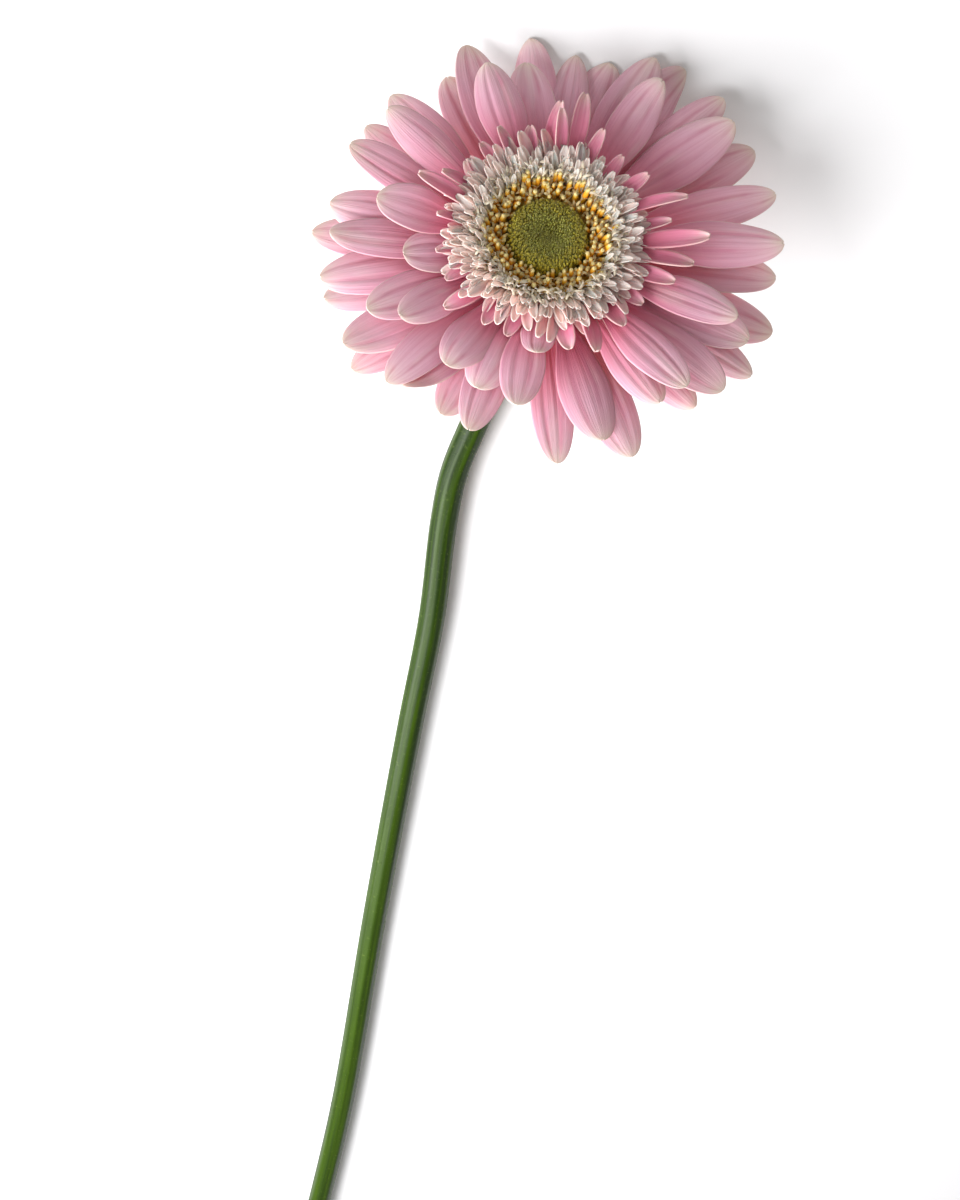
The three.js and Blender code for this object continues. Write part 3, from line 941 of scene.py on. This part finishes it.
def make_open_florets():
    """The ring of anther columns, two pale lobes on each, and the bed they stand in."""
    tints = bpy.context.scene.gerbera_colours
    rng = np.random.default_rng(23)
    anther = anther_template()
    lobe = strap_template("lobe", 0.7, 2.6, 120, 0.12)
    columns = []
    lobes = []
    for row, (count, radius, height, lean, size) in enumerate(ANTHER_ROWS):
        for k in range(count):
            degrees = 360 * (k + 0.5 * (row % 2) + rng.uniform(-0.35, 0.35)) / count
            tilt = lean + rng.uniform(-22, 22)
            tall = height + rng.uniform(-0.6, 0.8)
            wide = size * rng.uniform(0.82, 1.15)
            stand = leaning(radius, tall, degrees, tilt, rng.uniform(0, 72), wide)
            columns.append((HEAD @ stand, rng.uniform(0, 1)))
            for turn in (rng.uniform(-70, 0), rng.uniform(20, 90)):
                stand = leaning(
                    radius + rng.uniform(-0.3, 0.5), tall + rng.uniform(0.9, 2.0),
                    degrees + rng.uniform(-2, 2), tilt + rng.uniform(-10, 20), turn,
                    rng.uniform(0.6, 0.95),
                )
                lobes.append((HEAD @ stand, rng.uniform(0.3, 1)))
    look = along_material(
        "anther",
        ((0.0, colour(220, 196, 96)), (0.2, tints.anther), (0.55, colour(222, 148, 30)),
         (0.72, tints.anther), (0.95, tints.anther_tip)),
        0.7, 0.00006, subsurface=0.3, gloss=0.15,
    )
    plant("anther_columns", anther, columns, look, "open_florets")
    discard(anther)
    look = plain_material("anther_lobe", colour(244, 220, 156), 0.65, subsurface=0.5)
    plant("anther_lobes", lobe, lobes, look, "open_florets")
    discard(lobe)

    base = RECEPTACLE_TOP + CLEARANCE
    inner = DISC_RADIUS + CLEARANCE
    bed = turned("floret_bed", [
        (inner, base), (inner + 3.4, base), (inner + 4.4, base + 1.8), (inner + 2.0, base + 1.5),
        (inner, base + 1.0), (inner, base),
    ], 60)
    bed.data.transform(HEAD)
    set_attribute(bed.data, "tone", 0.2)
    shade(bed, plain_material("floret_bed", colour(200, 156, 50), 0.8))
    finish_piece(bed, "open_florets", "open_florets")


# Rows of white florets, as (florets, radius, height, lean outwards, tongue length, tongue width)
FRINGE_ROWS = (
    (84, 14.0, 3.7, 2, 4.4, 1.25),
    (92, 14.3, 3.6, 10, 5.1, 1.35),
    (92, 14.7, 3.4, 18, 5.9, 1.5),
    (88, 15.0, 3.2, 27, 6.8, 1.65),
    (76, 15.3, 3.0, 36, 7.5, 2.0),
    (60, 15.5, 2.8, 45, 8.3, 2.4),
    (44, 15.7, 2.5, 54, 9.2, 2.9),
)
FRINGE_BEND = 46            # degrees that a tongue bends outwards
CURLS = 380                 # thin curled ends among the tongues


def fringe_material(row):
    """White in the first row, and nearer to the foot's pink in each row after it."""
    tints = bpy.context.scene.gerbera_colours
    flush = row / (len(FRINGE_ROWS) - 1)
    looks = {"Foot": blended(colour(218, 204, 150), tints.fringe_foot, flush)}
    # The fold colour is painted shade in the grooves and towards the edges, and also colours the
    # streaks
    for part, share in (
        ("Blade", 0.8 * flush ** 2), ("Tip", 0.45 * flush ** 2), ("Rim", 0.15 * flush),
        ("Painted Shade And Vein", 0.3 + 0.5 * flush),
    ):
        looks[part] = blended(tints.fringe, tints.fringe_foot, share)
    looks.update({"Groove Shade Strength": 0.2, "Rim Width": 0.6, "Streaks": 8.0})
    return surface_material(
        f"fringe_{row + 1}", "petal_surface", looks, 0.75, 0.00002, subsurface=0.7, gloss=0.15,
    )


def make_fringe():
    """The rows of white tongues, longer and more bent outwards, and the curls among them."""
    rng = np.random.default_rng(31)
    for row, (count, radius, height, lean, reach, width) in enumerate(FRINGE_ROWS):
        cup = 0.2 + 0.05 * row
        tongue = strap_template(f"tongue_{row}", width, reach, FRINGE_BEND, cup, across=4, along=8)
        places = []
        for k in range(count):
            degrees = 360 * (k + 0.5 * (row % 2) + rng.uniform(-0.45, 0.45)) / count
            tilt = lean + rng.uniform(-12, 12)
            stand = leaning(
                radius, height + rng.uniform(-0.4, 0.4), degrees, tilt, rng.uniform(-40, 40),
                rng.uniform(0.76, 1.14),
            )
            places.append((HEAD @ stand, rng.uniform(0, 1)))
        plant(f"fringe_row_{row + 1}", tongue, places, fringe_material(row), "fringe_florets")
        discard(tongue)

    curl = strap_template("curl", 0.6, 2.8, 150, 0.06, across=2, along=8)
    places = []
    for k in range(CURLS):
        degrees = 360 * (k + rng.uniform(-0.4, 0.4)) / CURLS
        stand = leaning(
            rng.uniform(13.2, 16.6), rng.uniform(4.8, 7.2), degrees, rng.uniform(-30, 40),
            rng.uniform(-80, 80), rng.uniform(0.6, 1.1),
        )
        places.append((HEAD @ stand, rng.uniform(0.4, 1)))
    look = plain_material("fringe_curl", colour(242, 226, 192), 0.6, subsurface=0.5)
    plant("fringe_curls", curl, places, look, "fringe_florets")
    discard(curl)


# Small rays that stand out, as (degrees, tip radius, width, lean outwards)
SMALL_RAYS = (
    (94, 32, 3.2, 58), (79, 35, 3.6, 60), (87, 29, 2.8, 50), (69, 28, 2.6, 54), (53, 26, 2.6, 60),
    (38, 27, 2.8, 56), (25, 31, 3.0, 46), (13, 28, 2.6, 60), (3, 36, 3.6, 64), (-5, 33, 3.6, 66),
    (-16, 30, 3.2, 64), (-31, 26, 3.0, 66), (-46, 27, 3.8, 66), (-60, 29, 4.2, 70),
    (-76, 27, 3.6, 72), (-104, 25, 3.0, 72), (-118, 26, 3.0, 68), (-133, 29, 3.2, 66),
    (-149, 25, 2.8, 62), (-164, 25, 2.6, 58), (177, 25, 2.6, 54), (165, 30, 3.2, 44),
    (153, 27, 3.0, 52), (141, 25, 2.8, 58), (129, 26, 3.0, 56), (118, 27, 3.0, 54),
    (106, 26, 2.8, 52),
)


SMALL_RAY_FULLNESS = 1.2    # of the widths above
SMALL_RAY_GAP = 0.9         # millimetres from the open florets


def make_small_rays():
    """The small rays between the fringe and the ray petals, as one piece."""
    tints = bpy.context.scene.gerbera_colours
    rng = np.random.default_rng(43)
    pieces = []
    start = DISC_RADIUS + ANTHER_WIDTH + SMALL_RAY_GAP
    for degrees, reach, width, lean in SMALL_RAYS:
        span = (reach - start) / math.sin(math.radians(lean + 12))
        full = SMALL_RAY_FULLNESS * width
        bend = rng.uniform(12, 44)
        strap = strap_template("small_ray", full, span, bend, 0.7, across=8, along=16)
        strap.data.transform(HEAD @ leaning(
            start, 2.3 + rng.uniform(-0.2, 0.3), degrees, lean, rng.uniform(-32, 32),
        ))
        set_attribute(strap.data, "tone", rng.uniform(0, 1))
        pieces.append(strap)
    clear_selection()
    for strap in pieces:
        strap.select_set(True)
    bpy.context.view_layer.objects.active = pieces[0]
    bpy.ops.object.join()
    piece = pieces[0]
    piece.name = piece.data.name = "small_petals"
    # The darker pink given as the fold colour is painted shade in the grooves and towards the
    # edges, and also colours the streaks
    shade(piece, surface_material(
        "small_petal", "petal_surface",
        {"Foot": colour(188, 84, 106), "Blade": tints.small_ray,
         "Tip": blended(tints.small_ray, tints.ray_tip, 0.6),
         "Rim": blended(tints.small_ray, tints.ray_rim, 0.75), "Painted Shade And Vein": colour(190, 98, 124),
         "Groove Shade Strength": 0.4, "Rim Width": 0.16, "Streaks": 12.0},
        0.55, 0.00006, subsurface=0.2, sheen=0.04,
    ))
    finish_piece(piece, "small_rays", "small_rays")


# ---------------------------------------------------------------------------------------------
# Green parts

def green_material(name, light, dark, around_count, along_count, roughness=0.5):
    """Green flesh with a number of streaks around a piece and along it."""
    return surface_material(
        name, "plant_flesh",
        {"Light": light, "Dark": dark, "Speck": colour(126, 146, 66), "Around": around_count,
         "Along": along_count},
        roughness, 0.0001, subsurface=0.05, radius=LEAF_SCATTER, gloss=0.18,
    )


def make_receptacle():
    """The green head: a bowl over the stem, then a wall that leans out to a flat top."""
    rim = DISC_RADIUS + ANTHER_WIDTH
    waist = rim - RIM_SLOPE * WAIST_DROP
    neck = STEM_DIAMETER / 2 + 0.1
    top, floor = RECEPTACLE_TOP, -RECEPTACLE_DEPTH
    piece = turned("flower_head", [
        (0, floor + 0.1), (neck - 0.6, floor + 0.1), (neck, floor + 0.5), (neck + 1.2, floor + 1.2),
        ((neck + waist) / 2 + 0.6, floor + 2.6), (waist * 0.92, top - 11.2), (waist, top - 8.4),
        (rim - 0.2, top - 0.5), (rim - 0.6, top), (0, top),
    ], 64)
    piece.data.transform(HEAD)
    set_attribute(piece.data, "tone", 0.5)
    shade(piece, green_material("head_green", colour(150, 164, 92), colour(96, 112, 50), 6.0, 3.0))
    finish_piece(piece, "receptacle", "receptacle")


# Rows of bracts: (node, bracts, length, width, radius and height of the foot, lean outwards)
BRACT_ROWS = (
    ("bracts_inner", 22, 14.5, 4.4, 9.4, -13.0, 47),
    ("bracts_middle", 18, 12.0, 4.6, 8.6, -14.1, 49),
    ("bracts_outer", 15, 9.4, 4.2, 7.4, -15.2, 50),
)


def make_bracts():
    """The three overlapping rows of the green cup."""
    rng = np.random.default_rng(57)
    for row, (node, count, reach, width, radius, height, lean) in enumerate(BRACT_ROWS):
        leaf = strap_template(
            f"bract_{row}", width, reach, 16, 0.7, foot=0.9, point=1.0, across=6, along=14,
        )
        places = []
        for k in range(count):
            degrees = 360 * (k + row / 3) / count + rng.uniform(-3, 3)
            tilt = lean + rng.uniform(-3, 3)
            twist = rng.uniform(-8, 8)
            stand = leaning(radius, height, degrees, tilt, twist, rng.uniform(0.92, 1.06))
            places.append((HEAD @ stand, rng.uniform(0, 1)))
        look = green_material(
            f"bract_green_{row}", colour(122, 140, 66), colour(70, 86, 36), 5.0, 2.0, 0.6,
        )
        plant(f"{node}_leaves", leaf, places, look, "bracts", node)
        discard(leaf)


def between(a, b, low, high, t):
    """The point at t on the line that passes a at low and b at high."""
    return a * ((high - t) / (high - low)) + b * ((t - low) / (high - low))


def catmull_rom(points, count):
    """Points along a centripetal Catmull-Rom curve, evenly shared between its stretches."""
    points = [Vector(p) for p in points]
    points = [2 * points[0] - points[1], *points, 2 * points[-1] - points[-2]]
    stretches = len(points) - 3
    result = []
    for step in range(count):
        place = step / (count - 1) * stretches
        first = min(int(place), stretches - 1)
        share = place - first
        p = points[first:first + 4]
        k = [0.0]
        for a, b in zip(p, p[1:]):
            k.append(k[-1] + math.sqrt((b - a).length))
        t = k[1] + share * (k[2] - k[1])
        a = [between(p[i], p[i + 1], k[i], k[i + 1], t) for i in range(3)]
        b = [between(a[i], a[i + 1], k[i], k[i + 2], t) for i in range(2)]
        result.append(between(b[0], b[1], k[1], k[2], t))
    return result


def stem_route(count):
    """The stem's midline in metres, from under the flower to the cut."""
    radius = STEM_DIAMETER / 2 * MM
    neck = HEAD @ Vector((0, 0, -RECEPTACLE_DEPTH - CLEARANCE))
    fall = neck.z - radius
    points = [neck, neck - AXIS * 0.5 * fall]
    for x, y, z in NECK_ROUTE:
        place = neck.x + x * NECK_RUN * MM, neck.y + y * NECK_RUN * MM, radius + z * fall
        points.append(Vector(place))
    landing = points[-1]
    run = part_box("stem")[1][1] - landing.y
    for x, y in STEM_ROUTE:
        points.append(Vector((landing.x + x * run, landing.y + y * run, radius)))
    return catmull_rom(points, count)


STEM_STEPS = 240            # faces along the stem
STEM_SIDES = 40             # faces around it
CUT_DISH = 0.0006           # metres that the middle of the cut sinks

# Rings that close an end, as (share of the stem's radius, share of the dish it sinks by)
CAP_RINGS = ((0.93, 0), (0.8, 0), (0.5, 0.5), (0.2, 0.5))

STEM_HAIR_RADIUS = 0.03
STEM_HAIR_LENGTH = 0.9
HAIR_CLEARANCE = 0.0001     # metres over the surface that a hair's tip keeps


def make_stem():
    """The stem: a ribbed tube along its route, lying on the surface, with a dished cut."""
    tints = bpy.context.scene.gerbera_colours
    sizes = bpy.context.scene.gerbera_sizes
    route = stem_route(STEM_STEPS + 1)
    tube = new_grid("flower_stem", STEM_SIDES, STEM_STEPS)
    flat = points_of(tube.data)
    turn = (flat[:, 0] + 1) * math.pi
    rank = np.round(flat[:, 1] * STEM_STEPS).astype(int)
    centres = np.array(route)
    tangents = np.gradient(centres, axis=0)
    tangents /= np.linalg.norm(tangents, axis=1)[:, None]
    side = np.cross((0, 0, 1), tangents)
    side /= np.linalg.norm(side, axis=1)[:, None]
    over = np.cross(tangents, side)
    walk = flat[:, 1]
    ribs = np.cos(9 * turn + 2.2 * np.sin(5 * walk)) * 0.6 + np.cos(5 * turn + 1.4 - 3 * walk) * 0.4
    swell = 0.25 * (1 - smooth(walk, 0, 0.06)) + 0.12 * smooth(walk, 0.75, 1.0)
    radius = STEM_DIAMETER / 2 * MM - sizes.stem_rib + sizes.stem_rib * ribs
    radius = radius + MM * (swell - 0.15 + 0.1 * np.sin(21 * walk) * np.sin(turn + 9 * walk))
    world = (
        centres[rank] + side[rank] * (radius * np.cos(turn))[:, None]
        + over[rank] * (radius * np.sin(turn))[:, None]
    )
    world[:, 2] = np.maximum(world[:, 2], 0)
    set_points(tube.data, world)
    select_only(tube)
    bpy.ops.object.mode_set(mode="EDIT")
    bpy.ops.mesh.select_all(action="SELECT")
    bpy.ops.mesh.remove_doubles(threshold=1e-6)
    close_end(tube, route[0], dish=0)
    close_end(tube, route[-1], dish=CUT_DISH)
    face_outwards(tube)
    set_attribute(tube.data, "tone", 0.5)
    cut = plain_material("stem_cut", colour(196, 206, 150), 0.45, subsurface=0.3)
    shade(tube, green_material("stem_green", tints.stem, tints.stem_dark, 14.0, 5.0, 0.4), cut)
    end = np.array(route[-1])
    for face in tube.data.polygons:
        near = np.linalg.norm(np.array(face.center) - end) < STEM_DIAMETER * 0.45 * MM
        face.material_index = int(near and abs(face.normal.dot(Vector(tangents[-1]))) > 0.7)
    select_only(tube)
    bpy.ops.object.shade_smooth_by_angle(angle=math.radians(50))
    finish_piece(tube, "stem", "stem")
    make_stem_hair(centres, side, over)


def close_end(tube, centre, dish):
    """Closes one open end of the tube with rings that step in to the middle."""
    bpy.ops.mesh.select_mode(type="EDGE")
    bpy.ops.mesh.select_all(action="DESELECT")
    shell = bmesh.from_edit_mesh(tube.data)
    for edge in shell.edges:
        if edge.is_boundary and (edge.verts[0].co - centre).length < STEM_DIAMETER * MM:
            edge.select = True
    bmesh.update_edit_mesh(tube.data)
    for scale, sink in CAP_RINGS:
        bpy.ops.mesh.extrude_edges_move()
        chosen = [v for v in bmesh.from_edit_mesh(tube.data).verts if v.select]
        middle = sum((v.co for v in chosen), Vector()) / len(chosen)
        reach = sum((v.co - middle).length for v in chosen) / len(chosen)
        goal = scale * STEM_DIAMETER / 2 * MM
        for vertex in chosen:
            vertex.co = middle + (vertex.co - middle) * min(goal / reach, 1)
            vertex.co.y -= dish * sink
        bmesh.update_edit_mesh(tube.data)
    bpy.ops.mesh.edge_face_add()
    bpy.ops.mesh.select_mode(type="VERT")


def make_stem_hair(centres, side, over):
    """Fine pale hair on the stem, away from the surface it lies on."""
    sizes = bpy.context.scene.gerbera_sizes
    rng = np.random.default_rng(71)
    hair = hair_template(STEM_HAIR_RADIUS, STEM_HAIR_LENGTH)
    skin = STEM_DIAMETER / 2 - 0.25
    places = []
    for _ in range(sizes.stem_hairs):
        spot = int((len(centres) - 2) * rng.uniform(0.004, 0.995))
        turn = rng.uniform(0, 2 * math.pi)
        outwards = Vector(side[spot] * math.cos(turn) + over[spot] * math.sin(turn))
        root = Vector(centres[spot]) + outwards * skin * MM
        if root.z + outwards.z * STEM_HAIR_LENGTH * MM < HAIR_CLEARANCE:
            continue
        lean = Vector(rng.uniform(-0.6, 0.6, 3))
        aim = (outwards + lean).normalized().to_track_quat("Z", "Y").to_matrix().to_4x4()
        size = Matrix.Scale(MM * rng.uniform(0.5, 1.1), 4)
        places.append((Matrix.Translation(root) @ aim @ size, rng.uniform(0, 1)))
    look = plain_material("stem_hair", colour(110, 130, 60), 0.6)
    piece = plant("stem_hair", hair, places, look, "stem")
    discard(hair)
    points = points_of(piece.data)
    points[:, 2] = np.maximum(points[:, 2], 0)
    set_points(piece.data, points)


# ---------------------------------------------------------------------------------------------
# Operators

class GerberaStep(bpy.types.Operator):
    """Base of the steps that model the flower"""

    bl_options = {"REGISTER", "UNDO"}


class GERBERA_OT_rays(GerberaStep):
    """Models the ray petals of the four whorls"""

    bl_idname = "gerbera.rays"
    bl_label = "Ray Petals"

    def execute(self, context):
        make_rays()
        return {"FINISHED"}


class GERBERA_OT_small_rays(GerberaStep):
    """Models the small pink rays inside the ray petals"""

    bl_idname = "gerbera.small_rays"
    bl_label = "Small Rays"

    def execute(self, context):
        make_small_rays()
        return {"FINISHED"}


class GERBERA_OT_fringe(GerberaStep):
    """Models the white florets in their rows"""

    bl_idname = "gerbera.fringe"
    bl_label = "White Fringe"

    def execute(self, context):
        make_fringe()
        return {"FINISHED"}


class GERBERA_OT_open_florets(GerberaStep):
    """Models the ring of open florets"""

    bl_idname = "gerbera.open_florets"
    bl_label = "Open Florets"

    def execute(self, context):
        make_open_florets()
        return {"FINISHED"}


class GERBERA_OT_disc(GerberaStep):
    """Models the green disc with its closed florets and hair"""

    bl_idname = "gerbera.disc"
    bl_label = "Disc"

    def execute(self, context):
        make_disc()
        return {"FINISHED"}


class GERBERA_OT_green(GerberaStep):
    """Models the receptacle and its rows of bracts"""

    bl_idname = "gerbera.green"
    bl_label = "Receptacle and Bracts"

    def execute(self, context):
        make_receptacle()
        make_bracts()
        return {"FINISHED"}


class GERBERA_OT_stem(GerberaStep):
    """Models the stem, its cut and its hair"""

    bl_idname = "gerbera.stem"
    bl_label = "Stem"

    def execute(self, context):
        make_stem()
        return {"FINISHED"}


class GERBERA_OT_stage(GerberaStep):
    """Sets the floor, the lights and the camera"""

    bl_idname = "gerbera.stage"
    bl_label = "Stage"

    def execute(self, context):
        make_floor()
        make_lights()
        make_camera()
        return {"FINISHED"}


FLOOR_SIZE = 6.0            # metres
FLOOR_DROP = 0.0002         # metres that the floor lies under the flower


def make_floor():
    """The plain surface that the flower lies on."""
    tints = bpy.context.scene.gerbera_colours
    clear_selection()
    bpy.ops.mesh.primitive_plane_add(size=FLOOR_SIZE, location=(0, 0, -FLOOR_DROP))
    floor = bpy.context.object
    floor.name = "floor"
    material, _, shader = new_material("floor", 0.8)
    shader.inputs["Base Color"].default_value = opaque(tints.floor)
    floor.data.materials.append(material)


def add_light(name, place, aim, size, power, tone):
    """A square lamp that the camera doesn't see."""
    light = bpy.data.lights.new(name, "AREA")
    light.size = size
    light.energy = power
    light.color = tone
    lamp = bpy.data.objects.new(name, light)
    bpy.context.scene.collection.objects.link(lamp)
    lamp.location = place
    lamp.visible_camera = False
    lamp.rotation_euler = (Vector(aim) - Vector(place)).to_track_quat("-Z", "Y").to_euler()


# Lights: place from the flower's centre and side, in metres, then watts and colour
LIGHTS = {
    "key": ((0.34, 0.2, 0.31), 0.36, 6.0, (0.98, 0.975, 1.0)),
    "fill": ((-0.9, -0.3, 0.7), 1.0, 1.2, (1.0, 0.84, 0.7)),
}
ROOM_LIGHT = 0.36


def make_lights():
    """A key light, a warm fill and an even room, all aimed at the flower's centre."""
    centre = HEAD.translation
    for name, (place, size, power, tone) in LIGHTS.items():
        add_light(name, centre + Vector(place), centre, size, power, tone)
    world = bpy.data.worlds.new("room")
    world.use_nodes = True
    background = world.node_tree.nodes["Background"].inputs
    background["Color"].default_value = (1, 1, 1, 1)
    background["Strength"].default_value = ROOM_LIGHT
    bpy.context.scene.world = world
    bpy.context.scene.view_settings.view_transform = "Standard"
    bpy.context.scene.view_settings.look = "None"


CAMERA_PITCH = 64.3         # degrees below the horizon
CAMERA_LENS = 25.64         # millimetres
CAMERA_SENSOR = 24          # millimetres tall
CAMERA_PLACE = (14.6, -53.3, 294.5)     # from the flower's centre, in millimetres


def make_camera():
    """Looks down on the flower from in front of its face, with the stem running away."""
    camera = bpy.data.cameras.new("camera")
    camera.sensor_fit = "VERTICAL"
    camera.sensor_height = CAMERA_SENSOR
    camera.lens = CAMERA_LENS
    holder = bpy.data.objects.new("camera", camera)
    bpy.context.scene.collection.objects.link(holder)
    pitch = math.radians(CAMERA_PITCH)
    forward = Vector((0, math.cos(pitch), -math.sin(pitch)))
    up = Vector((0, -math.sin(pitch), -math.cos(pitch)))
    right = forward.cross(up)
    turn = Matrix((right, up, -forward)).transposed().to_4x4()
    place = HEAD.translation + Vector(CAMERA_PLACE) * MM
    holder.matrix_world = Matrix.Translation(place) @ turn
    bpy.context.scene.camera = holder


class GERBERA_PT_panel(bpy.types.Panel):
    """Lists the steps that model the flower"""

    bl_label = "Cut Gerbera"
    bl_idname = "GERBERA_PT_panel"
    bl_space_type = "VIEW_3D"
    bl_region_type = "UI"
    bl_category = "Gerbera"

    def draw(self, context):
        for group in (context.scene.gerbera_sizes, context.scene.gerbera_colours):
            for name in group.bl_rna.properties.keys():
                if name not in {"rna_type", "name"}:
                    self.layout.prop(group, name)
        for step in STEPS:
            self.layout.operator(step.bl_idname)


STEPS = (
    GERBERA_OT_stage, GERBERA_OT_rays, GERBERA_OT_small_rays, GERBERA_OT_fringe,
    GERBERA_OT_open_florets, GERBERA_OT_disc, GERBERA_OT_green, GERBERA_OT_stem,
)
CLASSES = (GerberaSizes, GerberaColours, *STEPS, GERBERA_PT_panel)


def register():
    for cls in CLASSES:
        bpy.utils.register_class(cls)
    bpy.types.Scene.gerbera_sizes = PointerProperty(type=GerberaSizes)
    bpy.types.Scene.gerbera_colours = PointerProperty(type=GerberaColours)


def unregister():
    del bpy.types.Scene.gerbera_colours
    del bpy.types.Scene.gerbera_sizes
    for cls in reversed(CLASSES):
        bpy.utils.unregister_class(cls)


def main():
    register()
    petal_group()
    flesh_group()
    bpy.ops.gerbera.stage()
    bpy.ops.gerbera.rays()
    bpy.ops.gerbera.small_rays()
    bpy.ops.gerbera.fringe()
    bpy.ops.gerbera.open_florets()
    bpy.ops.gerbera.disc()
    bpy.ops.gerbera.green()
    bpy.ops.gerbera.stem()


if __name__ == "__main__":
    main()
